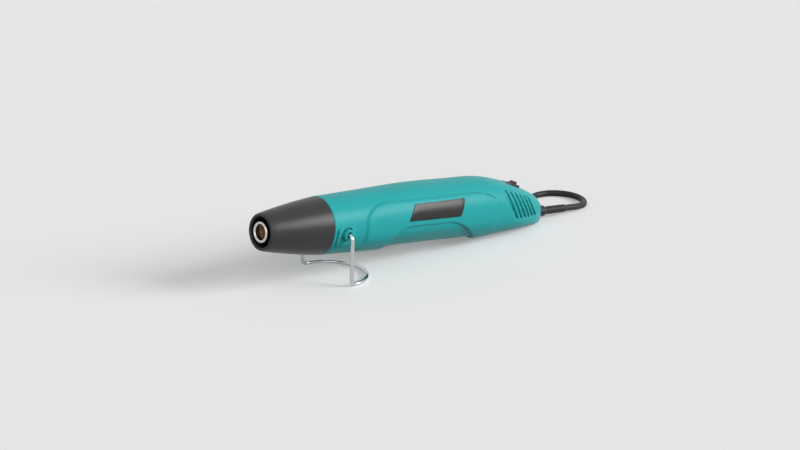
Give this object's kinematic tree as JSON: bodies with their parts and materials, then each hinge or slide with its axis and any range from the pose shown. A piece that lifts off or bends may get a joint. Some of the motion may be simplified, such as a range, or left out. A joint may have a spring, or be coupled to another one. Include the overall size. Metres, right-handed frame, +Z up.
{
  "type": "embossing heat tool",
  "caption": "Slim corded hot-air tool with a round tapered nose, rear rocker switch, air slots and a folding wire stand.",
  "frame": {"origin": "centre of the tool's bounding box on the table, measured without the lead, its coil and its plug", "axes": "+X towards the rear, where the lead leaves; +Y to the tool's right; +Z up; the tool stands on its wire stand and heel, nose up by 5.7 degrees"},
  "size_m": [0.2872, 0.1159, 0.0521],
  "materials": {
    "teal_shell": "satin moulded plastic",
    "nose_black": "heat-resistant plastic, satin",
    "tube_steel": "bare steel tube, heat-tinted inside",
    "mica": "mica sheet and board",
    "heating_wire": "oxidised resistance wire",
    "ceramic": "pale ceramic or moulding",
    "inner_black": "moulded plastic",
    "fan_plastic": "natural nylon",
    "bronze": "sintered bronze",
    "motor_steel": "plated steel can",
    "board": "circuit board",
    "heater_lead": "glass-fibre sleeved lead",
    "power_lead": "insulated lead",
    "switch_black": "moulded plastic",
    "rocker_red": "dark red moulded plastic",
    "label_black": "blank printed plate, satin",
    "stand_chrome": "bright plated wire",
    "screw_steel": "zinc-plated",
    "lead_black": "soft PVC sheath",
    "relief_black": "moulded PVC",
    "tie_black": "twist tie",
    "plug_black": "moulded PVC",
    "blade_brass": "nickel-plated brass"
  },
  "bodies": {
    "body": {"left_shell": "teal_shell", "right_shell": "teal_shell", "case_screws": "screw_steel", "nose_cone": "nose_black", "nozzle_tube": "tube_steel", "mica_sleeve": "mica", "element_former": "mica", "heating_coil": "heating_wire", "element_base": "ceramic", "thermal_cutout": "screw_steel", "air_funnel": "mica", "fan_duct": "inner_black", "shaft_bushes": "bronze", "motor_can": "motor_steel", "motor_endcap": "ceramic", "rectifier_board": "board", "board_parts": "inner_black", "heater_leads": "heater_lead", "power_leads": "power_lead", "switch_housing": "switch_black", "label_plate": "label_black", "cord_clamp": "inner_black", "clamp_screws": "screw_steel", "cord_tail": "lead_black", "strain_relief": "relief_black", "cord": "lead_black", "cord_coil": "lead_black", "cord_end": "lead_black", "coil_tie": "tie_black", "plug_body": "plug_black", "plug_blades": "blade_brass"},
    "stand": {"stand_wire": "stand_chrome"},
    "fan": {"fan_impeller": "fan_plastic", "motor_shaft": "tube_steel"},
    "rocker": {"switch_rocker": "rocker_red"}
  },
  "joints": [
    {"name": "stand_hinge", "type": "hinge", "parent": "body", "child": "stand", "pos_m": [-0.07593, 0, 0.03195], "axis": [0, 1, 0], "range_deg": [-15, 111]},
    {"name": "fan_spin", "type": "hinge", "parent": "body", "child": "fan", "pos_m": [-0.03996, 0, 0.02984], "axis": [0.995, 0, -0.1001], "continuous": true},
    {"name": "rocker_tilt", "type": "hinge", "parent": "body", "child": "rocker", "pos_m": [0.07458, 0, 0.02962], "axis": [0, 1, 0], "range_deg": [0, 14]}
  ]
}
